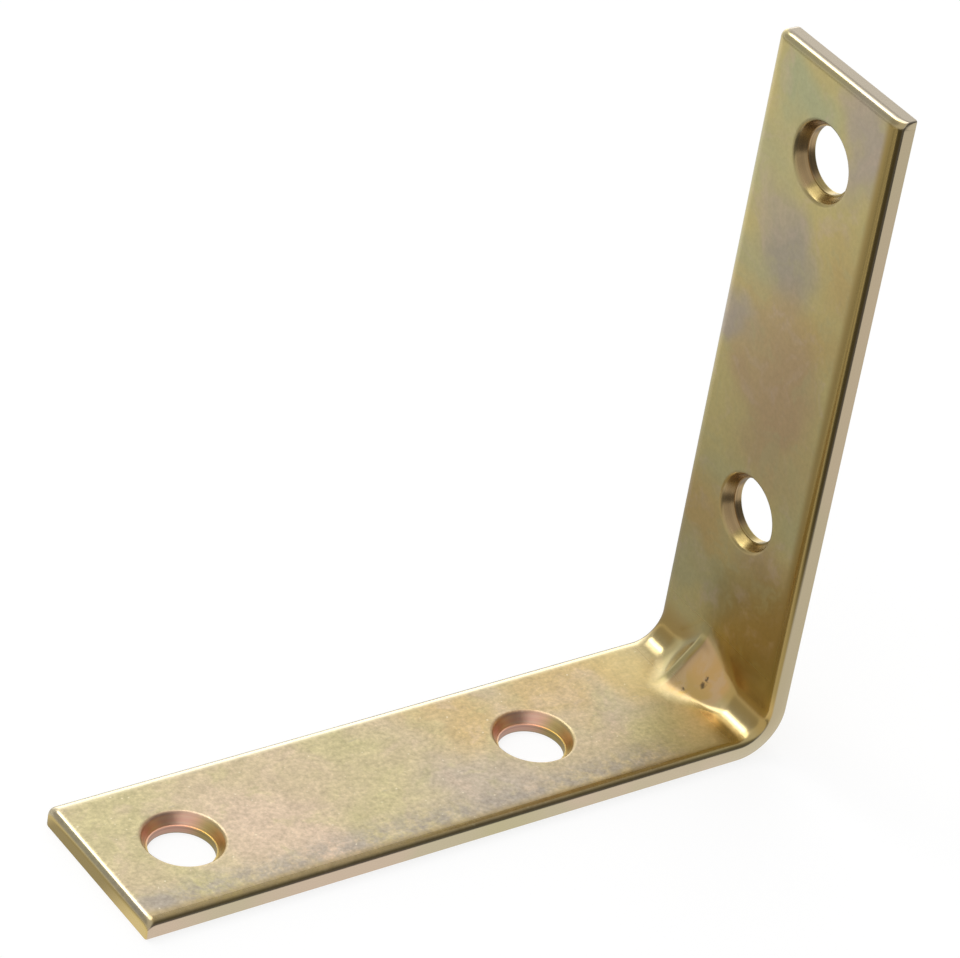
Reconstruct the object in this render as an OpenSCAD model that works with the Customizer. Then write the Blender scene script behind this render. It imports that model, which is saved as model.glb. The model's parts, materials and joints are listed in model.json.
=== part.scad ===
// Angle bracket folded from one steel strip: two legs at a right angle, two countersunk
// screw holes in each leg and a pressed stiffening rib across the inside of the fold.
// The origin is the outer heel, where the outer faces of both legs would meet, at mid width.
// The horizontal leg lies on Z = 0 and runs along +X, the upright leg stands along +Z.

/* [Strip] */
// Width of the strip
strip_width = 16; // [14:0.5:25]
// Thickness of the sheet
sheet = 1.7; // [1.4:0.1:2.5]
// Length of the horizontal leg, from the heel to its end
base_leg = 62; // [60:0.5:100]
// Length of the upright leg, from the heel to its end
upright_leg = 61.5; // [60:0.5:100]

/* [Fold] */
// Radius of the inner side of the fold
fold_radius = 2.5; // [2:0.1:4]

/* [Edges] */
// Radius rolled onto the long edges of the inner faces
side_roll = 0.75; // [0.3:0.05:1]
// Radius rolled onto the end edges of the inner faces
end_roll = 0.5; // [0.2:0.05:1]
// Radius of the back corner of each leg's end
corner_radius = 0.6; // [0.2:0.1:3]
// Radius of the front corner of each leg's end, which is sheared nearly sharp
corner_break = 0.15; // [0.05:0.05:3]

/* [Screw holes] */
// Distance from the heel to the near hole of the horizontal leg
base_hole_near = 20; // [18:0.5:26]
// Distance from the heel to the near hole of the upright leg
upright_hole_near = 19.5; // [18:0.5:26]
// Distance from each leg's end to its far hole
end_margin = 8; // [7:0.5:14]
// Diameter of the straight wall of a hole
bore_diameter = 5.6; // [4:0.1:6]
// Length of the straight wall, from the outer face
bore_wall = 0.7; // [0.4:0.05:0.9]
// Width of the narrow ledge between the straight wall and the cone
ledge = 0.12; // [0.05:0.01:0.2]
// Diameter of the cone where it meets the inner face
cone_diameter = 6.6; // [6.4:0.1:7.5]
// Radius rolled onto the rim of the cone
rim_roll = 0.25; // [0.1:0.05:0.4]

/* [Corner rib] */
// Height of the rib's crest above the inner corner, square to the crest
rib_rise = 2.9; // [2.4:0.1:5]
// Sideways place of the crest, from mid width
rib_offset = -1.2; // [-2:0.1:2]
// Width of the narrow strip behind the crest
rib_top = 0.85; // [0.4:0.05:1.5]
// Slope of the narrow strip behind the crest
top_slope = 8; // [2:1:15]
// Slope of the flat back flank
back_slope = 38; // [30:1:50]
// Slope at which the rounded front flank leaves the crest
front_slope = 10; // [2:1:20]
// Radius of the rounded front flank
front_radius = 9; // [7:0.5:14]
// Thickness left in the rib between its crest and the pocket behind it
rib_wall = 1.6; // [1:0.1:1.8]

/* [Hidden] */
$fn = 64;
// Overshoot of a cut past the surface that it leaves through
clear = 1;
half_width = strip_width / 2;
outer_fold = fold_radius + sheet;
bore_radius = bore_diameter / 2;
cone_radius = cone_diameter / 2;
steel_colour = "darkkhaki";

// Square corner of a given radius, with the arc's centre at the origin and the tip at + +
module corner_waste(radius) {
    difference() {
        square(radius + clear);
        circle(radius);
    }
}

// Section across the strip: outer face at the bottom, both upper edges rolled
module strip_section() {
    difference() {
        translate([-half_width, 0])
            square([strip_width, sheet]);
        for (side = [0, 1])
            mirror([side, 0])
                translate([half_width - side_roll, sheet - side_roll])
                    corner_waste(side_roll);
    }
}

// Side view of one leg, from the end of the fold to its rounded end
module leg_side(length) {
    difference() {
        translate([outer_fold, 0])
            square([length - outer_fold, sheet]);
        translate([length - end_roll, sheet - end_roll])
            corner_waste(end_roll);
    }
}

// Plan view of one leg: back corner rounded, front corner nearly sharp
module leg_plan(length) {
    difference() {
        translate([0, -half_width])
            square([length, strip_width]);
        translate([length - corner_break, half_width - corner_break])
            corner_waste(corner_break);
        mirror([0, 1])
            translate([length - corner_radius, half_width - corner_radius])
                corner_waste(corner_radius);
    }
}

// Straight part of a leg, lying on Z = 0 along +X
module leg_blank(length) {
    intersection() {
        rotate([90, 0, 90])
            linear_extrude(length + clear)
                strip_section();
        rotate([90, 0, 0])
            linear_extrude(strip_width + clear, center = true)
                leg_side(length);
        translate([0, 0, -clear])
            linear_extrude(sheet + 2 * clear)
                leg_plan(length);
    }
}

// Quarter turn of the strip between the two legs
module fold() {
    translate([outer_fold, 0, outer_fold])
        rotate([90, 0, 0])
            rotate([0, 0, 180])
                rotate_extrude(angle = 90)
                    translate([outer_fold, 0])
                        rotate(90)
                            strip_section();
}

// Outline turned about a hole's axis: straight wall, narrow ledge, cone and rolled rim
module hole_outline() {
    cone_foot = bore_radius + ledge;
    polygon([
        [0, -clear],
        [bore_radius, -clear],
        [bore_radius, bore_wall],
        [cone_foot, bore_wall],
        [cone_radius, sheet],
        [cone_radius, sheet + clear],
        [0, sheet + clear]
    ]);
    difference() {
        translate([cone_radius - rim_roll, sheet - rim_roll])
            square([2 * rim_roll, rim_roll + clear]);
        translate([cone_radius + rim_roll, sheet - rim_roll])
            circle(rim_roll);
    }
}

// Screw hole through a leg that lies on Z = 0, countersunk from the inner face
module screw_hole(distance) {
    translate([distance, 0, 0])
        rotate_extrude()
            hole_outline();
}

// One leg with its holes
module leg(length, near) {
    difference() {
        leg_blank(length);
        screw_hole(near);
        screw_hole(length - end_margin);
    }
}

// The rib's section, square to its crest, which lies at x = 0: straight back flank, narrow
// strip and rounded front flank
module rib_section(rise, foot) {
    drop = rib_top * tan(top_slope);
    back_reach = rib_top + (rise - drop - foot) / tan(back_slope);
    intersection() {
        translate([-front_radius * sin(front_slope), rise - front_radius * cos(front_slope)])
            circle(front_radius);
        polygon([
            [-back_reach, foot],
            [front_radius, foot],
            [front_radius, rise + drop],
            [rib_top, rise + drop],
            [-rib_top, rise - drop]
        ]);
    }
}

// Sweeps a section along the 45 degree line across the inner corner
module across_corner() {
    translate([sheet, rib_offset, sheet])
        rotate([0, 45, 0])
            rotate([90, 0, 90])
                linear_extrude(4 * rib_rise + 4 * sheet, center = true)
                    children();
}

// Metal pushed up into the inside of the corner
module rib() {
    intersection() {
        across_corner()
            rib_section(rib_rise, 0);
        translate([sheet / 2, -half_width, sheet / 2])
            cube([3 * rib_rise, strip_width, 3 * rib_rise]);
    }
}

// Hollow left on the outside of the heel by the tool that pressed the rib
module pocket() {
    across_corner()
        rib_section(rib_rise - rib_wall, -2 * sheet);
}

module bracket() {
    color(steel_colour)
        difference() {
            union() {
                fold();
                leg(base_leg, base_hole_near);
                mirror([1, 0, -1])
                    leg(upright_leg, upright_hole_near);
                rib();
            }
            pocket();
        }
}

bracket();
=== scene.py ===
"""Folded steel angle bracket: its strip, pressed rib, screw holes and passivated finish with
painted highlights and shade.
"""

import json
import math

import bmesh
import bpy
from bpy.props import FloatProperty, FloatVectorProperty, PointerProperty
from mathutils import Matrix, Vector


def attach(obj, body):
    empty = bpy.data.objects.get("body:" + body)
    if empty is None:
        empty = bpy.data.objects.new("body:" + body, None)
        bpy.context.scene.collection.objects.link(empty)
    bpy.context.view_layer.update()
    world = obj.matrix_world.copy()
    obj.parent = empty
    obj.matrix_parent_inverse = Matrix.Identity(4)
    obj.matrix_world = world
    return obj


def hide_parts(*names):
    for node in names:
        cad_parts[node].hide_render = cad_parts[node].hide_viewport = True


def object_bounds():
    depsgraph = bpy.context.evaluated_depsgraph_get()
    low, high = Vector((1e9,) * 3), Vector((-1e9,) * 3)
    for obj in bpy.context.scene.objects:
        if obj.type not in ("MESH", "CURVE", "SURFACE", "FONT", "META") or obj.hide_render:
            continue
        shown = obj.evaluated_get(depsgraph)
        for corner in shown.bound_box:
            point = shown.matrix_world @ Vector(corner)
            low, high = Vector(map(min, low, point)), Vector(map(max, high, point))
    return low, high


bl_info = {
    "name": "Angle Bracket",
    "version": (1, 0, 0),
    "blender": (4, 5, 0),
    "location": "View3D > Sidebar > Bracket",
    "description": "Models and finishes a folded steel angle bracket around its packed solid",
    "category": "Add Mesh",
}

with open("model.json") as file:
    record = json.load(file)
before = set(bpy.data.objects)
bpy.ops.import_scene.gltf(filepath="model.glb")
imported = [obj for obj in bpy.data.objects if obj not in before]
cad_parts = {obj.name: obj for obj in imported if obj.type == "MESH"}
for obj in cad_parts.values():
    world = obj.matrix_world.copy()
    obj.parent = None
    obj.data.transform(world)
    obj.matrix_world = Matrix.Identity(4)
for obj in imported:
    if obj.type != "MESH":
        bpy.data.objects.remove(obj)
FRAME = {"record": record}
CAD_LOW, CAD_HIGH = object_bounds()
MOUNTS = {mount["name"]: mount for mount in FRAME["record"]["mounts"]}
MM = 0.001
QUARTER = math.pi / 2
X_AXIS = Vector((1, 0, 0))
Y_AXIS = Vector((0, 1, 0))
Z_AXIS = Vector((0, 0, 1))

# How finely the strip is meshed: columns across it, arcs, rows along the legs beside the fold
COLUMNS = 96
ROLL_SEGMENTS = 10
BREAK_SEGMENTS = 2
FOLD_STEPS = 30
END_STEPS = 6
RIM_STEPS = 6
HOLE_STEPS = 96
ROW = 0.2 * MM

# Points closer than this are joined, in the hole cutter and in the finished piece
CUTTER_JOIN = 0.001 * MM
PIECE_JOIN = 0.0005 * MM
# Slack for picking points by their place
SLACK = 0.01 * MM
# Edges that turn by more than this stay crisp, and faces this near to an axis count as flat
SHARP_ANGLE = math.radians(40)
FLAT_ANGLE = math.radians(0.2)
# Layer and value by which Blender knows the faces that the normals follow
FACE_STRENGTH = "__mod_weightednormals_faceweight"
STRONG = 16384

# Sockets of Blender's Mix node that carry colours
MIX_A, MIX_B, MIX_RESULT = 6, 7, 2
WHITE = (1, 1, 1, 1)

# Clouds of the passivation: leg, millimetres from the heel and from mid width, radius, colour
# and strength
CLOUDS = (
    ("base", 58, -5, 6, "green", 0.6),
    ("base", 54, 5.5, 4, "green", 0.7),
    ("base", 46.5, 1, 7, "pink", 0.75),
    ("base", 43, 6.5, 4, "pink", 0.7),
    ("base", 36, 2.5, 5.5, "green", 0.45),
    ("base", 36, -6.5, 4, "green", 0.5),
    ("base", 28.5, 4.5, 5, "mauve", 0.8),
    ("base", 24, 6.5, 3.5, "mauve", 0.7),
    ("base", 25, -4.5, 5, "amber", 0.6),
    ("base", 15, -5.5, 5, "amber", 0.6),
    ("base", 12, -1.5, 4, "mauve", 0.5),
    ("base", 9, -5, 4, "amber", 0.7),
    ("base", 10, 4, 4, "green", 0.6),
    ("upright", 58.5, -6, 4, "gold", 0.8),
    ("upright", 57.5, -2, 3.5, "teal", 0.8),
    ("upright", 60, 3, 3, "mauve", 0.8),
    ("upright", 57, 6.5, 4.5, "mauve", 0.9),
    ("upright", 51, -6, 4.5, "green", 0.9),
    ("upright", 48, 3.5, 3.5, "gold", 0.7),
    ("upright", 46, 6.5, 4, "amber", 0.6),
    ("upright", 44, -2, 4.5, "slate", 0.9),
    ("upright", 42, -6.5, 3, "green", 0.8),
    ("upright", 37, -1, 5, "rust", 0.7),
    ("upright", 34, -6.5, 3, "mauve", 0.9),
    ("upright", 38, 4, 4, "amber", 0.6),
    ("upright", 30.5, 1, 6, "rust", 0.9),
    ("upright", 28, -7, 4, "gold", 0.9),
    ("upright", 23, 6.5, 4, "green", 0.7),
    ("upright", 22, -3, 3.5, "green", 0.6),
    ("upright", 15, -6, 5.5, "amber", 0.9),
    ("upright", 11, -4.5, 3, "green", 0.8),
    ("upright", 10, -0.5, 3, "teal", 0.7),
    ("upright", 16, 3.5, 4, "rust", 0.7),
    # Painted shade: the brown cloud beside the fold on the upright's front side
    ("upright", 10, 5, 7.5, "umber", 1.0),
)

# Small dark pits on the rib's front flank: place and radius in millimetres
PITS = (
    ((3.09, 1.06, 3.4), 0.25),
    ((3.5, 1.2, 2.88), 0.27),
    ((4.75, 0.2, 2.23), 0.18),
)

# Light of the dome: its own level, then patches given as a direction, the angles in degrees at
# which the patch starts and is full, and how much it takes away or adds
DOME = 0.66
DIM_PATCH = ((0.65, -0.6, 0.45), 30, 14, 0.25)
DARK_ROOM = ((-0.5, 0.77, 0.36), 58, 20, 0.78)
SOFT_BOXES = (
    ((-0.45, -0.88, 0.12), 36, 18, 0.65),
    ((-0.53, -0.84, 0.1), 20, 11, 0.95),
    ((0.16, -0.645, 0.745), 10, 5, 3.8),
    ((-0.04, -0.36, 0.93), 24, 12, 2.1),
)


def length(name, description, default):
    """A size that a user would change."""
    return FloatProperty(name=name, description=description, default=default, unit="LENGTH",
                         subtype="DISTANCE", precision=5)


def share(name, description, default):
    """A strength from 0 to 1 that a user would change."""
    return FloatProperty(name=name, description=description, default=default, min=0, max=1,
                         subtype="FACTOR")


def slope(name, description, degrees):
    """A slope or turn that a user would change."""
    return FloatProperty(name=name, description=description, default=math.radians(degrees),
                         subtype="ANGLE", unit="ROTATION")


def tint(name, description, default):
    """A colour that a user would change, as linear red, green and blue."""
    return FloatVectorProperty(name=name, description=description, default=default, subtype="COLOR",
                               size=3, min=0, max=1)


class StripShape(bpy.types.PropertyGroup):
    """Sizes of the folded strip."""

    width: length("Width", "Width of the strip", CAD_HIGH.y - CAD_LOW.y)
    sheet: length("Sheet", "Thickness of the sheet", 1.7 * MM)
    base_leg: length("Base leg", "Heel to the end of the horizontal leg", CAD_HIGH.x)
    upright_leg: length("Upright leg", "Heel to the end of the upright leg", CAD_HIGH.z)
    fold_radius: length("Fold radius", "Inner radius of the fold", 2.5 * MM)
    side_roll: length("Side roll", "Depth rolled onto the long inner edges", 0.55 * MM)
    roll_width: length("Roll width", "Width over which the long inner edges turn down", 1.1 * MM)
    end_roll: length("End roll", "Radius rolled onto the inner end edges", 0.8 * MM)
    corner_radius: length("Corner radius", "Radius of each leg's back corner in plan", 0.6 * MM)
    corner_break: length("Corner break", "Radius of each leg's front corner in plan", 0.15 * MM)
    edge_break: length("Edge break", "Radius left on the edges of the outer faces", 0.08 * MM)


class RibShape(bpy.types.PropertyGroup):
    """Sizes of the pressed corner rib."""

    rise: length("Rise", "Height of the crest above the inner corner", 2.9 * MM)
    offset: length("Offset", "Sideways place of the crest", -1.2 * MM)
    top_width: length("Top width", "Width of the worn strip behind the crest", 0.85 * MM)
    top_slope: slope("Top slope", "Slope of the worn strip behind the crest", 8)
    back_slope: slope("Back slope", "Slope of the back flank", 38)
    front_radius: length("Front radius", "Radius of the rounded front flank", 9 * MM)
    front_slope: slope("Front slope", "Slope at which the front flank leaves the crest", 10)
    edge: length("Crest edge", "Softness of the crest", 0.03 * MM)
    wall: length("Wall", "Metal left between the crest and the pocket behind it", 1.6 * MM)
    fillet: length("Fillet", "Softness where the flanks run into the sheet", 1.1 * MM)
    reach: length("Reach", "How far along a leg the mesh is fine enough to press", 9.5 * MM)


class HoleShape(bpy.types.PropertyGroup):
    """Sizes of a countersunk screw hole."""

    wall: length("Straight wall", "Length of the straight wall", 0.7 * MM)
    ledge: length("Ledge", "Width of the ledge under the cone", 0.12 * MM)
    cone_radius: length("Cone radius", "Radius of the cone at the inner face", 3.3 * MM)
    rim_roll: length("Rim roll", "Radius rolled onto the cone's rim", 0.4 * MM)


class SteelLook(bpy.types.PropertyGroup):
    """Colours and finish of the passivated steel, with painted highlights and shade among them."""

    straw: tint("Straw", "Colour of the passivation over most of the base leg", (0.57, 0.47, 0.30))
    gold: tint("Gold", "Colour of the yellow clouds", (0.64, 0.53, 0.23))
    green: tint("Green", "Colour of the yellow-green clouds", (0.55, 0.50, 0.26))
    teal: tint("Teal", "Colour of the blue-green clouds", (0.47, 0.49, 0.29))
    pink: tint("Pink", "Colour of the pink clouds", (0.67, 0.52, 0.39))
    mauve: tint("Mauve", "Colour of the grey-violet clouds", (0.51, 0.43, 0.34))
    slate: tint("Slate", "Colour of the grey clouds", (0.46, 0.40, 0.31))
    rust: tint("Rust", "Colour of the red-brown clouds", (0.57, 0.40, 0.22))
    amber: tint("Amber", "Colour of the orange clouds", (0.62, 0.44, 0.18))
    # Painted shade: this brown darkens the front edges and the upright beside the fold
    umber: tint("Umber", "Colour of the brown beside the fold", (0.43, 0.31, 0.11))
    # Painted light: this lighter yellow brightens the base leg beside the fold
    lemon: tint("Lemon", "Colour of the base leg beside the fold", (0.72, 0.62, 0.30))
    # Painted highlight: this cream brightens the back roll-over and the end rolls
    cream: tint("Cream", "Colour of the bright rubbed edges", (0.88, 0.79, 0.56))
    copper: tint("Copper", "Colour of the pink walls of the screw holes", (0.90, 0.52, 0.40))
    brown: tint("Brown", "Colour of the brown walls of the screw holes", (0.55, 0.42, 0.17))
    gilt: tint("Gilt", "Colour of the base leg's end face", (0.70, 0.53, 0.21))
    flank: tint("Flank", "Colour of the rib's front flank", (0.68, 0.43, 0.17))
    nape: tint("Nape", "Colour of the rib's back flank", (0.56, 0.47, 0.22))
    # Also the painted shade on the front flank's lower part
    bronze: tint("Bronze", "Colour of the front flank's lower part", (0.58, 0.40, 0.14))
    pit: tint("Pit", "Colour of the small pits on the rib", (0.10, 0.07, 0.04))
    sheared: tint("Sheared", "Colour of the sheared side faces", (0.60, 0.52, 0.35))
    # This grey also carries the painted shade along the base leg's front edge
    worn: tint("Worn", "Colour where the passivation has rubbed thin", (0.40, 0.35, 0.29))
    glint: tint("Glint", "Colour of the bright specks", (0.95, 0.88, 0.66))
    satin: share("Satin", "Blur of the sheet's reflections", 0.36)
    haze: share("Haze", "Extra blur on the rubbed base leg", 0.08)
    pressed: share("Pressed", "Blur where the tools have burnished it", 0.2)
    grain: length("Grain", "Height of the finest unevenness", 0.018 * MM)
    speckle: share("Speckle", "Strength of the fine light and dark grain", 0.21)


class StudioLook(bpy.types.PropertyGroup):
    """Floor, light and camera."""

    floor: tint("Floor", "Colour of the floor", (0.66, 0.66, 0.66))
    floor_size: length("Floor size", "Side of the floor", 2.0)
    lens: FloatProperty(name="Lens", description="Focal length of the camera", default=186.3,
                        unit="CAMERA")
    sensor: FloatProperty(name="Sensor", description="Width of the camera's sensor", default=36,
                          unit="CAMERA")
    camera: FloatVectorProperty(name="Camera", description="Place of the camera", subtype="XYZ",
                                unit="LENGTH", default=(0.23672, 0.25177, 0.24698))
    target: FloatVectorProperty(name="Target", description="Point in the middle of the picture",
                                subtype="XYZ", unit="LENGTH", default=(0.03041, 0, 0.03038))
    roll: slope("Roll", "Turn of the camera about its view", 9.98)


def hole_places():
    """Centre and direction of each screw hole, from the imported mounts."""
    bores = [mount for mount in MOUNTS.values() if mount["kind"] == "bore"]
    places = []
    for bore in bores:
        axis = Vector(bore["axis"])
        centre = Vector(bore["pos_m"])
        places.append((centre - axis * centre.dot(axis), axis))
    return places


def hole_radius():
    """Radius of the screw holes' straight walls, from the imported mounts."""
    return next(mount["dims"]["r_mm"] for mount in MOUNTS.values() if mount["kind"] == "bore") * MM


def new_piece(name, bm):
    """Turns a bmesh into an object at the origin."""
    mesh = bpy.data.meshes.new(name)
    bm.to_mesh(mesh)
    bm.free()
    piece = bpy.data.objects.new(name, mesh)
    bpy.context.scene.collection.objects.link(piece)
    return piece


def section_edges(bm, shape):
    """Closed outline of the strip's section, standing where the base leg leaves the fold."""
    start = shape.sheet + shape.fold_radius
    place = Matrix.Translation((start, 0, shape.sheet / 2)) @ Matrix((
        (0, 0, 1, 0), (shape.width, 0, 0, 0), (0, shape.sheet, 0, 0), (0, 0, 0, 1)))
    bmesh.ops.create_grid(bm, x_segments=1, y_segments=1, size=0.5, matrix=place)
    for upper, radius, segments in ((True, shape.side_roll, ROLL_SEGMENTS),
                                    (False, shape.edge_break, BREAK_SEGMENTS)):
        corners = [v for v in bm.verts if (v.co.z > shape.sheet / 2) == upper]
        bmesh.ops.bevel(bm, geom=corners, offset=radius, offset_type="OFFSET", segments=segments,
                        profile=0.5, affect="VERTICES", material=-1, clamp_overlap=True)
    bmesh.ops.delete(bm, geom=list(bm.faces), context="FACES_ONLY")
    for edge in (-shape.width / 2, shape.width / 2):
        arc = [v for v in bm.verts if v.co.z > shape.sheet - shape.side_roll - SLACK
               and abs(v.co.y - edge) < shape.side_roll + SLACK]
        bmesh.ops.scale(bm, verts=arc, vec=(1, shape.roll_width / shape.side_roll, 1),
                        space=Matrix.Translation((0, -edge, 0)))
    wide = [e for e in bm.edges if e.calc_length() > shape.width / 2]
    bmesh.ops.subdivide_edges(bm, edges=wide, cuts=COLUMNS - 1)
    return list(bm.edges)


def run_on(bm, edges, step, size=(1, 1, 1)):
    """Extrudes an outline, scales the new one about the origin, moves it and gives its edges."""
    made = bmesh.ops.extrude_edge_only(bm, edges=edges)["geom"]
    verts = [g for g in made if isinstance(g, bmesh.types.BMVert)]
    bmesh.ops.scale(bm, verts=verts, vec=size)
    bmesh.ops.translate(bm, verts=verts, vec=step)
    return [g for g in made if isinstance(g, bmesh.types.BMEdge)]


def end_stations(shape, reach):
    """Distances back from a leg's end, with the thickness and both side edges' places there."""
    side = shape.width / 2
    stations = []
    for i in range(END_STEPS + 1):
        back = reach * (1 - math.sin(QUARTER * i / END_STEPS))
        drop = shape.end_roll - rolled(shape.end_roll, back)
        behind = shape.corner_radius - rolled(shape.corner_radius, back)
        before = shape.corner_break - rolled(shape.corner_break, back)
        stations.append((back, shape.sheet - drop, behind - side, side - before))
    return stations


def rolled(radius, back):
    """Height of a quarter circle at a distance back from its end."""
    missing = max(radius - back, 0)
    return math.sqrt(radius ** 2 - missing ** 2)


def grow_leg(bm, edges, along, thick, leg, shape, reach):
    """Runs the section out to a leg's rounded end and closes it."""
    fold = shape.sheet + shape.fold_radius
    rows = round((reach - fold) / ROW)
    for _ in range(rows):
        edges = run_on(bm, edges, along * (reach - fold) / rows)
    at, sheet, low, high = reach, shape.sheet, -shape.width / 2, shape.width / 2
    roll = max(shape.end_roll, shape.corner_radius)
    for back, next_sheet, next_low, next_high in end_stations(shape, roll):
        spread = (next_high - next_low) / (high - low)
        shift = (next_low + next_high - spread * (low + high)) / 2
        size = thick * (next_sheet / sheet) + Y_AXIS * spread + along
        edges = run_on(bm, edges, along * (leg - back - at) + Y_AXIS * shift, size)
        at, sheet, low, high = leg - back, next_sheet, next_low, next_high
    bmesh.ops.edgeloop_fill(bm, edges=edges)


def smooth_max(a, b, blend):
    """The larger of two heights, rounded where they cross."""
    near = max(blend - abs(a - b), 0) / blend
    return max(a, b) + near * near * blend / 4


def smooth_min(a, b, blend):
    """The smaller of two heights, rounded where they cross."""
    return -smooth_max(-a, -b, blend)


def flanks(y, rise, rib):
    """Height of the rib's section at a distance y from its crest."""
    top = rise + y * math.tan(rib.top_slope)
    shoulder = rise - rib.top_width * math.tan(rib.top_slope)
    back = shoulder + (y + rib.top_width) * math.tan(rib.back_slope)
    radius = rib.front_radius
    ahead = y + radius * math.sin(rib.front_slope)
    centre = rise - radius * math.cos(rib.front_slope)
    arc = math.sqrt(max(radius ** 2 - ahead ** 2, 0))
    return smooth_min(smooth_min(top, back, rib.edge), centre + arc, rib.edge)


def press_rib(bm, shape, rib):
    """Pushes the metal of the corner inwards along the line that halves the angle."""
    upward = (X_AXIS + Z_AXIS).normalized()
    corner = Vector((shape.sheet, 0, shape.sheet))
    fold = shape.sheet + shape.fold_radius
    for vert in bm.verts:
        place = vert.co
        if max(place.x, place.z) > rib.reach:
            continue
        depth = fold - math.hypot(max(fold - place.x, 0), max(fold - place.z, 0))
        inner = depth > shape.sheet / 2
        height = (place - corner).dot(upward)
        rise = rib.rise if inner else rib.rise - rib.wall
        pressed = flanks(place.y - rib.offset, rise, rib)
        vert.co = place + upward * (smooth_max(height, pressed, rib.fillet) - height)


def hole_cutter(shape, hole):
    """One solid that cuts all the screw holes: straight wall, ledge, cone and rolled rim."""
    bm = bmesh.new()
    radius = hole_radius()
    over = shape.sheet
    rim = hole.cone_radius + hole.rim_roll
    outline = [(0, -over), (radius, -over), (radius, hole.wall), (radius + hole.ledge, hole.wall)]
    for i in range(RIM_STEPS + 1):
        turn = QUARTER * (0.2 + 0.8 * i / RIM_STEPS)
        outline.append((rim - hole.rim_roll * math.cos(turn),
                        shape.sheet - hole.rim_roll + hole.rim_roll * math.sin(turn)))
    outline += [(rim, shape.sheet + over), (0, shape.sheet + over)]
    for centre, axis in hole_places():
        across = axis.cross(Y_AXIS)
        verts = [bm.verts.new(centre + across * r + axis * t) for r, t in outline]
        edges = [bm.edges.new(pair) for pair in zip(verts, verts[1:])]
        bmesh.ops.spin(bm, geom=verts + edges, cent=centre, axis=axis, angle=2 * math.pi,
                       steps=HOLE_STEPS, use_merge=True)
    bmesh.ops.remove_doubles(bm, verts=bm.verts, dist=CUTTER_JOIN)
    bmesh.ops.recalc_face_normals(bm, faces=bm.faces)
    return new_piece("hole_cutter", bm)


def cut(piece, cutter):
    """Takes one solid out of another and deletes the cutter."""
    bpy.context.view_layer.objects.active = piece
    tool = piece.modifiers.new("holes", "BOOLEAN")
    tool.object = cutter
    tool.operation = "DIFFERENCE"
    tool.solver = "EXACT"
    bpy.ops.object.modifier_apply(modifier=tool.name)
    bpy.data.objects.remove(cutter)


def shade(piece):
    """Smooth shading that keeps the true edges crisp and the flat faces flat."""
    bm = bmesh.new()
    bm.from_mesh(piece.data)
    bmesh.ops.remove_doubles(bm, verts=bm.verts, dist=PIECE_JOIN)
    bm.normal_update()
    strength = bm.faces.layers.int.new(FACE_STRENGTH)
    for face in bm.faces:
        face.smooth = True
        flat = max(abs(part) for part in face.normal) > math.cos(FLAT_ANGLE)
        face[strength] = STRONG if flat else 0
    for edge in bm.edges:
        edge.smooth = len(edge.link_faces) == 2 and edge.calc_face_angle() < SHARP_ANGLE
    bm.to_mesh(piece.data)
    bm.free()
    normals = piece.modifiers.new("face normals", "WEIGHTED_NORMAL")
    normals.keep_sharp = True
    normals.use_face_influence = True


class BRACKET_OT_strip(bpy.types.Operator):
    """Model the folded strip with its pressed rib and screw holes"""

    bl_idname = "bracket.strip"
    bl_label = "Model Strip"

    def execute(self, context):
        scene = context.scene
        shape, rib, hole = scene.bracket_strip, scene.bracket_rib, scene.bracket_hole
        fold = shape.sheet + shape.fold_radius
        bm = bmesh.new()
        start = section_edges(bm, shape)
        start_verts = list(bm.verts)
        centre = Vector((fold, 0, fold))
        turned = bmesh.ops.spin(bm, geom=start_verts + start, cent=centre, axis=Y_AXIS,
                                angle=QUARTER, steps=FOLD_STEPS, use_duplicate=False)
        upright = [g for g in turned["geom_last"] if isinstance(g, bmesh.types.BMEdge)]
        grow_leg(bm, start, X_AXIS, Z_AXIS, shape.base_leg, shape, rib.reach)
        grow_leg(bm, upright, Z_AXIS, X_AXIS, shape.upright_leg, shape, rib.reach)
        press_rib(bm, shape, rib)
        bmesh.ops.recalc_face_normals(bm, faces=bm.faces)
        piece = new_piece("folded_strip", bm)
        cut(piece, hole_cutter(shape, hole))
        shade(piece)
        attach(piece, "root")
        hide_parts("bracket")
        return {"FINISHED"}


class Wire:
    """A shader socket that Python's operators can work on."""

    def __init__(self, graph, socket):
        self.graph = graph
        self.socket = socket

    def maths(self, operation, *others):
        """The result of a maths node fed with this wire and the others."""
        values = dict(enumerate((self, *others)))
        return self.graph.node("ShaderNodeMath", {"operation": operation}, values)

    def __add__(self, other):
        return self.maths("ADD", other)

    __radd__ = __add__

    def __mul__(self, other):
        return self.maths("MULTIPLY", other)

    __rmul__ = __mul__

    def __sub__(self, other):
        return self.maths("SUBTRACT", other)

    def __rsub__(self, other):
        return self.graph.node("ShaderNodeMath", {"operation": "SUBTRACT"}, {0: other, 1: self})

    def __abs__(self):
        return self.maths("ABSOLUTE")

    def larger(self, other):
        """The larger of this wire and another value."""
        return self.maths("MAXIMUM", other)

    def smaller(self, other):
        """The smaller of this wire and another value."""
        return self.maths("MINIMUM", other)

    def ramp(self, low, high):
        """0 at low, 1 at high, smooth between them; low may be the larger."""
        return self.graph.node("ShaderNodeMapRange", {"interpolation_type": "SMOOTHSTEP"},
                               {"Value": self, "From Min": low, "From Max": high})

    def towards(self, limit, start, full):
        """0 until a distance start short of a limit, 1 from a distance full short of it."""
        return self.ramp(limit - start, limit - full)


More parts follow.
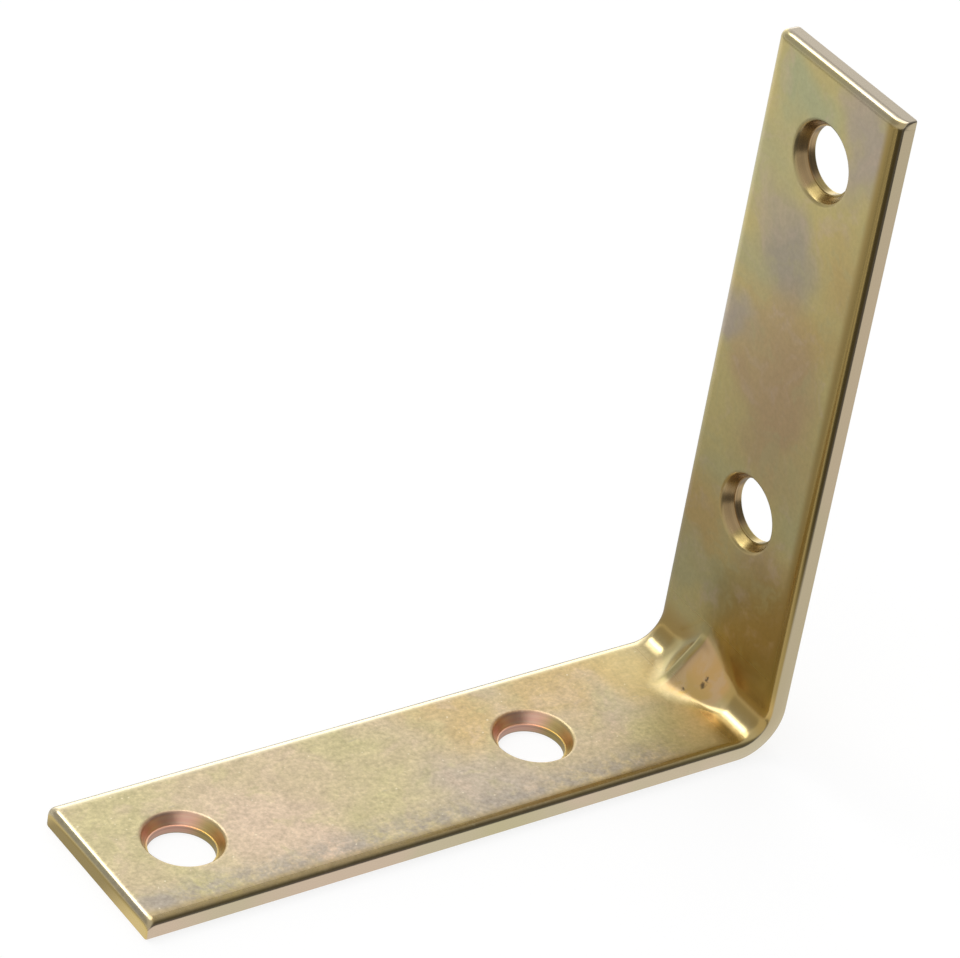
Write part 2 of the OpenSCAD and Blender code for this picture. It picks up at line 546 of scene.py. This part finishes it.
class Graph:
    """Builds a node tree from Python expressions."""

    def __init__(self, owner):
        owner.use_nodes = True
        self.tree = owner.node_tree
        self.tree.nodes.clear()

    def node(self, kind, settings=None, values=None, output=0):
        """Adds a node, sets it up, fills its inputs and gives one output, if it has any."""
        node = self.tree.nodes.new(kind)
        for name, value in (settings or {}).items():
            setattr(node, name, value)
        for name, value in (values or {}).items():
            if isinstance(value, Wire):
                self.tree.links.new(value.socket, node.inputs[name])
            else:
                node.inputs[name].default_value = value
        return Wire(self, node.outputs[output]) if node.outputs else None

    def mix(self, factor, a, b):
        """Colour a, or b where the factor is 1."""
        return self.node("ShaderNodeMix", {"data_type": "RGBA"},
                         {"Factor": factor, MIX_A: as_colour(a), MIX_B: as_colour(b)},
                         MIX_RESULT)

    def vector(self, operation, a, b, output="Vector"):
        """The result of a vector maths node."""
        return self.node("ShaderNodeVectorMath", {"operation": operation}, {0: a, 1: b}, output)

    def noise(self, place, scale, detail, roughness=0.5, output=0):
        """Noise about 0.5 at a place; its features are about 1 / scale metres wide."""
        return self.node("ShaderNodeTexNoise", {"noise_type": "FBM", "normalize": True},
                         {"Vector": place, "Scale": scale, "Detail": detail,
                          "Roughness": roughness}, output)

    def jittered(self, place, scale, detail, reach):
        """A place pushed about by noise, so that an outline drawn on it turns out uneven."""
        push = self.noise(place, scale, detail, output="Color")
        push = self.vector("SUBTRACT", push, (0.5, 0.5, 0.5))
        push = self.vector("MULTIPLY", push, (reach, reach, reach))
        return self.vector("ADD", place, push)

    def shifted(self, place, offset):
        """A place moved aside, so that one noise doesn't repeat another."""
        return self.vector("ADD", place, offset)

    def scaled(self, colour, factor):
        """A colour made lighter or darker."""
        return self.node("ShaderNodeVectorMath", {"operation": "SCALE"},
                         {0: colour, "Scale": factor})

    def near(self, place, centre, radius, softness):
        """1 within a radius of a centre, falling off over the softness."""
        gap = self.vector("DISTANCE", place, centre, "Value")
        return gap.ramp(radius + softness, radius)


def as_colour(value):
    """A colour socket takes a wire or four numbers."""
    return value if isinstance(value, Wire) else (*value, 1)


class Surface:
    """Places on the bracket that its finish follows."""

    def __init__(self, graph, shape):
        self.graph = graph
        self.place = graph.node("ShaderNodeTexCoord", output="Object")
        self.x, self.y, self.z = (
            graph.node("ShaderNodeSeparateXYZ", {}, {0: self.place}, axis) for axis in "XYZ")
        self.along = self.x.larger(self.z)
        self.aside = abs(self.y)
        self.depth = self.x.smaller(self.z)
        self.on_base = (self.x - self.z).ramp(-1 * MM, 1 * MM)
        self.half_width = shape.width / 2
        self.sheared = self.side_edge(0.12 * MM, 0.02 * MM)
        self.base_end = self.x.towards(shape.base_leg, 0.15 * MM, 0.03 * MM)
        self.upright_end = self.z.towards(shape.upright_leg, 0.15 * MM, 0.03 * MM)
        base_edge = self.x.towards(shape.base_leg, 0.7 * MM, 0.45 * MM)
        upright_edge = self.z.towards(shape.upright_leg, 0.7 * MM, 0.45 * MM)
        self.end_edge = base_edge.larger(upright_edge)
        self.drifted = graph.jittered(self.place, 110, 3, 12 * MM)
        self.nicked = graph.jittered(self.place, 3500, 2, 0.7 * MM)

    def side_edge(self, start, full):
        """0 in the middle of the strip, 1 towards its long edges."""
        return self.aside.towards(self.half_width, start, full)

    def in_holes(self, hole):
        """1 on the walls of the screw holes."""
        masks = None
        for centre, axis in hole_places():
            across = self.graph.vector("MULTIPLY", self.place, tuple(1 - abs(a) for a in axis))
            gap = self.graph.vector("DISTANCE", across, tuple(centre), "Value")
            mask = gap.ramp(hole.cone_radius + hole.rim_roll, hole.cone_radius - 0.1 * MM)
            masks = mask if masks is None else masks.larger(mask)
        return masks * self.depth.ramp(0.02 * MM, 0.1 * MM)


class BRACKET_OT_finish(bpy.types.Operator):
    """Give the strip its passivated steel finish, with painted highlights and shade"""

    bl_idname = "bracket.finish"
    bl_label = "Finish Steel"

    def execute(self, context):
        scene = context.scene
        look, shape, hole = scene.bracket_steel, scene.bracket_strip, scene.bracket_hole
        material = bpy.data.materials.new("passivated_steel")
        graph = Graph(material)
        surface = Surface(graph, shape)
        grain = graph.noise(surface.place, 2400, 3, 0.65)
        holes = surface.in_holes(hole)
        base = self.clouds(graph, surface, look)
        base = self.wear(graph, surface, look, base)
        base = self.speckles(graph, surface, look, base, grain)
        base = self.edge_tints(graph, surface, look, base)
        base = self.corner_tints(graph, surface, scene.bracket_rib, look, base)
        base = graph.mix(surface.sheared, base, self.sides(graph, surface, look))
        base = graph.mix(surface.base_end, base, look.gilt)
        base = graph.mix(surface.upright_end, base, look.slate)
        base = graph.mix(holes, base, self.hole_walls(graph, surface, look))
        polish = self.burnished(surface, holes)
        roughness = look.satin + surface.on_base * (1 - polish) * look.haze
        roughness = roughness - polish * (look.satin - look.pressed)
        height = grain * (0.25 + surface.on_base * 0.75) * (1 - polish * 0.8)
        normal = graph.node("ShaderNodeBump", {}, {
            "Height": height, "Distance": look.grain, "Strength": 1.0})
        steel = graph.node("ShaderNodeBsdfPrincipled", {}, {
            "Base Color": base, "Metallic": 1.0, "Roughness": roughness, "Normal": normal})
        graph.node("ShaderNodeOutputMaterial", {}, {"Surface": steel})
        strip = bpy.data.objects["folded_strip"].data
        strip.materials.clear()
        strip.materials.append(material)
        return {"FINISHED"}

    @staticmethod
    def burnished(surface, holes):
        """1 where the tools have rubbed the steel: fold, rib and edges, less in the holes."""
        pressed = surface.x.ramp(6 * MM, 4 * MM) * surface.z.ramp(8.5 * MM, 5.5 * MM)
        edges = surface.side_edge(0.9 * MM, 0.6 * MM).larger(surface.end_edge)
        return pressed.larger(edges).larger(holes * 0.6)

    @staticmethod
    def clouds(graph, surface, look):
        """The soft rainbow clouds of the passivation."""
        base = graph.mix(surface.on_base, look.gold, look.straw)
        for leg, along, across, radius, colour, strength in CLOUDS:
            centre = (along, across, 1.7) if leg == "base" else (1.7, across, along)
            centre = tuple(part * MM for part in centre)
            patch = graph.near(surface.drifted, centre, radius * 0.35 * MM, radius * MM)
            base = graph.mix(patch * strength, base, getattr(look, colour))
        small = graph.noise(graph.shifted(surface.drifted, (0.3, 0.1, 0.2)), 330, 3, 0.6)
        base = graph.mix(small.ramp(0.5, 0.72) * 0.35, base, look.pink)
        return graph.mix(small.ramp(0.48, 0.3) * 0.35, base, look.green)

    @staticmethod
    def wear(graph, surface, look, base):
        """Painted shade as a darker, speckled grey strip along the base leg's front edge, for the
        dark that its broad roll-over reflects, and a grey patch at its front corner.
        """
        patchy = graph.noise(surface.place, 900, 4, 0.7)
        # Painted shade: the strip darkens the flat before the front roll-over
        strip = surface.y.ramp(3.2 * MM, 6.6 * MM) * surface.on_base
        strip = strip * surface.x.ramp(6 * MM, 14 * MM)
        corner = graph.near(surface.drifted, (60.5 * MM, 6.2 * MM, 1.7 * MM), 0.8 * MM, 2.6 * MM)
        worn = (strip * 0.85 * patchy.ramp(0.34, 0.62)).larger(corner * 0.9)
        return graph.mix(worn, base, look.worn)

    @staticmethod
    def edge_tints(graph, surface, look, base):
        """Painted shade in brown along the front edges, painted highlights in cream along the back
        one and the ends.
        """
        half = surface.half_width
        # Painted shade: brown over the front edges' roll-over stands in for the dark that it
        # reflects, deeper on the upright
        brown = surface.y.towards(half, 1.6 * MM, 0.3 * MM) * 0.7
        upright_edge_shade = surface.y.towards(half, 1.8 * MM, 1.0 * MM)
        inner = surface.depth.ramp(0.5 * MM, 1.1 * MM)
        brown = brown.larger(upright_edge_shade * (1 - surface.on_base)) * inner
        base = graph.mix(brown, base, look.umber)
        # Painted highlight: cream along the base leg's back roll-over and on the end rolls
        back = (0 - surface.y).towards(half, 1.2 * MM, 0.7 * MM) * surface.on_base
        bright = (back * 0.45).larger(surface.end_edge * 0.3)
        return graph.mix(bright, base, look.cream)

    @staticmethod
    def corner_tints(graph, surface, rib, look, base):
        """Orange round the fold, painted light beside it on the base leg, and on the rib a pink
        front flank, with painted shade on its lower part and painted light along the crest, and a
        grey-green back one.
        """
        # Painted light: the base leg beside the fold is made a lighter yellow
        beside = surface.along.ramp(13 * MM, 6 * MM) * surface.on_base
        base = graph.mix(beside * 0.4, base, look.lemon)
        fold = surface.along.ramp(6.5 * MM, 4 * MM) * (1 - surface.on_base * 0.7)
        base = graph.mix(fold * 0.95, base, look.bronze)
        crest = surface.y - rib.offset
        raised = (surface.x + surface.z).ramp(4.6 * MM, 5.4 * MM)
        raised = raised * surface.depth.ramp(1.75 * MM, 2.1 * MM)
        raised = raised * surface.along.ramp(6.8 * MM, 6.2 * MM)
        raised = raised * abs(crest).ramp(4.4 * MM, 3.8 * MM)
        # Painted shade: the front flank's lower part is darker bronze
        lower = (surface.x - surface.z).ramp(-0.5 * MM, 2 * MM)
        front = graph.mix(lower * 0.8, look.flank, look.bronze)
        patches = graph.noise(surface.drifted, 420, 3, 0.6).ramp(0.44, 0.62)
        # Random paler patches, and painted light as a paler pink band along the crest
        patches_and_crest_light = patches.larger(crest.ramp(1.1 * MM, 0.2 * MM))
        front = graph.mix(patches_and_crest_light * 0.3, front, look.pink)
        base = graph.mix(raised * crest.ramp(-0.1 * MM, 0.05 * MM), base, front)
        base = graph.mix(raised * crest.ramp(-0.1 * MM, -0.6 * MM), base, look.nape)
        for pit, radius in PITS:
            place = tuple(part * MM for part in pit)
            dent = graph.near(surface.nicked, place, radius * 0.25 * MM, radius * MM)
            base = graph.mix(dent * 0.85, base, look.pit)
        return base

    @staticmethod
    def sides(graph, surface, look):
        """Pale sheared side faces with long faint tints; the upright's lean to straw, so that the
        base leg's stay paler, partly as painted light.
        """
        long = graph.node("ShaderNodeMapping", {}, {
            "Vector": surface.place, "Scale": (60, 900, 60)})
        tints = graph.noise(long, 1, 3)
        colour = graph.mix(tints.ramp(0.45, 0.6) * 0.85, look.sheared, look.pink)
        colour = graph.mix(tints.ramp(0.45, 0.3) * 0.5, colour, look.green)
        # Painted light in part: the base leg's side faces are kept paler than the upright's
        return graph.mix((1 - surface.on_base) * 0.6, colour, look.straw)

    @staticmethod
    def speckles(graph, surface, look, base, grain):
        """Fine light and dark grain, bright specks and short scratches."""
        rubbed = 0.3 + surface.on_base * 0.7
        base = graph.scaled(base, 1 + (grain - 0.5) * rubbed * (look.speckle * 4))
        blotches = graph.noise(graph.shifted(surface.place, (0.5, 0.3, 0.1)), 750, 3, 0.7)
        base = graph.scaled(base, 1 + (blotches - 0.5) * rubbed * (look.speckle * 2.5))
        specks = graph.noise(graph.shifted(surface.place, (0.2, 0.4, 0.6)), 2300, 1).ramp(0.72, 0.8)
        base = graph.mix(specks * surface.on_base * 0.5, base, look.glint)
        streaks = graph.node("ShaderNodeMapping", {}, {
            "Vector": surface.place, "Rotation": (0.4, 0.3, 0.6), "Scale": (600, 4200, 600)})
        scratches = graph.noise(streaks, 1, 1).ramp(0.72, 0.78) * rubbed
        return graph.mix(scratches * 0.4, base, look.worn)

    @staticmethod
    def hole_walls(graph, surface, look):
        """Pink to brown walls, partly their own tint and partly painted reflection, lighter in the
        base leg's holes as painted light, with fine light and dark rings as painted highlights and
        shade of small steps that the punch left.
        """
        # Back walls pink, the rest brown, more so in the upright: partly own tint, partly painted
        # reflection
        brown = surface.y.ramp(-2.7 * MM, -0.9 * MM).larger(0.75 - surface.on_base * 0.75)
        walls = graph.mix(brown, look.copper, look.brown)
        # Painted highlights and shade: fine light and dark rings down the walls
        rings = graph.noise(surface.depth, 3200, 1)
        # Painted light: the base leg's hole walls are lighter and the upright's darker
        leg = 0.74 + surface.on_base * 0.46
        return graph.scaled(walls, (0.6 + rings * 0.8) * leg)


def card_light(graph):
    """How bright the steel sees each place of the floor, with light and dark cards on it."""
    place = graph.node("ShaderNodeTexCoord", output="Object")
    x, y = (graph.node("ShaderNodeSeparateXYZ", {}, {0: place}, axis) for axis in "XY")
    front = y.ramp(0, 6 * MM)
    against = y.ramp(13 * MM, 9 * MM) * front
    behind = y.ramp(-22 * MM, -14 * MM) * y.ramp(-7 * MM, -9 * MM) * x.ramp(20 * MM, 34 * MM)
    beyond = y.ramp(-20 * MM, -80 * MM)
    dark_before = (x + y).ramp(20 * MM, 60 * MM) * y.ramp(9 * MM, 25 * MM)
    dark_corner = x.ramp(80 * MM, 130 * MM) * y.ramp(-80 * MM, -130 * MM)
    level = 0.43 + front * 0.38 + against * 0.08 + behind * 0.3 + beyond * 0.45
    return level * (1 - dark_before * 0.85) * (1 - dark_corner * 0.5)


def floor_shading(graph, look):
    """White to the camera, and to the steel a grey table with the cards on it."""
    to_camera = graph.node("ShaderNodeLightPath", output="Is Camera Ray")
    to_steel = graph.node("ShaderNodeLightPath", output="Is Glossy Ray")
    level = card_light(graph)
    cards = graph.node("ShaderNodeEmission", {}, {"Color": WHITE, "Strength": level})
    # The sheet glows to the camera, so that the bracket's shadow on it stays faint
    colour = graph.mix(to_camera, look.floor, tuple(0.38 * part for part in look.floor))
    sheet = graph.node("ShaderNodeBsdfDiffuse", {}, {"Color": colour})
    glow = graph.node("ShaderNodeEmission", {}, {"Color": WHITE, "Strength": to_camera * 0.8})
    table = graph.node("ShaderNodeAddShader", {}, {0: sheet, 1: glow})
    return graph.node("ShaderNodeMixShader", {}, {0: to_steel, 1: table, 2: cards})


def studio_sky(graph):
    """Pale dome with soft boxes, a bright far wall and dark room behind the camera."""
    ray = graph.node("ShaderNodeTexCoord", output="Generated")

    def patch(direction, start, full, strength):
        """Light round one direction, fading between two angles."""
        aim = Vector(direction).normalized()
        facing = graph.vector("DOT_PRODUCT", ray, tuple(aim), "Value")
        return facing.ramp(math.cos(math.radians(start)), math.cos(math.radians(full))) * strength

    level = (DOME - patch(*DIM_PATCH)) * (1 - patch(*DARK_ROOM))
    for box in SOFT_BOXES:
        level = level + patch(*box)
    to_camera = graph.node("ShaderNodeLightPath", output="Is Camera Ray")
    level = to_camera + (1 - to_camera) * level
    return graph.node("ShaderNodeBackground", {}, {"Color": WHITE, "Strength": level})


class BRACKET_OT_stage(bpy.types.Operator):
    """Add the floor and the studio light"""

    bl_idname = "bracket.stage"
    bl_label = "Build Stage"

    def execute(self, context):
        look = context.scene.bracket_studio
        bm = bmesh.new()
        bmesh.ops.create_grid(bm, x_segments=1, y_segments=1, size=look.floor_size / 2)
        floor = new_piece("floor", bm)
        material = bpy.data.materials.new("floor")
        graph = Graph(material)
        graph.node("ShaderNodeOutputMaterial", {}, {"Surface": floor_shading(graph, look)})
        floor.data.materials.append(material)
        world = bpy.data.worlds.new("studio")
        context.scene.world = world
        graph = Graph(world)
        graph.node("ShaderNodeOutputWorld", {}, {"Surface": studio_sky(graph)})
        return {"FINISHED"}


class BRACKET_OT_camera(bpy.types.Operator):
    """Place the camera at the photograph's viewing angle"""

    bl_idname = "bracket.camera"
    bl_label = "Place Camera"

    def execute(self, context):
        look = context.scene.bracket_studio
        data = bpy.data.cameras.new("camera")
        data.lens = look.lens
        data.sensor_width = look.sensor
        data.sensor_fit = "HORIZONTAL"
        data.clip_start = 0.01
        data.clip_end = 10
        camera = bpy.data.objects.new("camera", data)
        context.scene.collection.objects.link(camera)
        place = Vector(look.camera)
        aim = (Vector(look.target) - place).to_track_quat("-Z", "Y").to_matrix().to_4x4()
        camera.matrix_world = Matrix.Translation(place) @ aim @ Matrix.Rotation(look.roll, 4, "Z")
        context.scene.camera = camera
        context.scene.view_settings.view_transform = "Standard"
        return {"FINISHED"}


class BRACKET_PT_panel(bpy.types.Panel):
    """Lists the bracket's steps"""

    bl_idname = "BRACKET_PT_panel"
    bl_label = "Angle Bracket"
    bl_space_type = "VIEW_3D"
    bl_region_type = "UI"
    bl_category = "Bracket"

    def draw(self, context):
        for operator in OPERATORS:
            self.layout.operator(operator.bl_idname)
        for name in GROUPS:
            group = getattr(context.scene, name)
            box = self.layout.box()
            for prop in group.bl_rna.properties:
                if prop.identifier in group.__annotations__:
                    box.prop(group, prop.identifier)


OPERATORS = (BRACKET_OT_strip, BRACKET_OT_finish, BRACKET_OT_stage, BRACKET_OT_camera)
GROUPS = {
    "bracket_strip": StripShape,
    "bracket_rib": RibShape,
    "bracket_hole": HoleShape,
    "bracket_steel": SteelLook,
    "bracket_studio": StudioLook,
}


def register():
    """Makes the panel, its steps and their settings known to Blender."""
    for kind in (*GROUPS.values(), *OPERATORS, BRACKET_PT_panel):
        bpy.utils.register_class(kind)
    for name, group in GROUPS.items():
        setattr(bpy.types.Scene, name, PointerProperty(type=group))


def unregister():
    """Takes them away again."""
    for name in GROUPS:
        delattr(bpy.types.Scene, name)
    for kind in (BRACKET_PT_panel, *OPERATORS, *reversed(GROUPS.values())):
        bpy.utils.unregister_class(kind)


def main():
    """Models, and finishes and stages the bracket."""
    register()
    bpy.ops.bracket.strip()
    bpy.ops.bracket.finish()
    bpy.ops.bracket.stage()
    bpy.ops.bracket.camera()


if __name__ == "__main__":
    main()
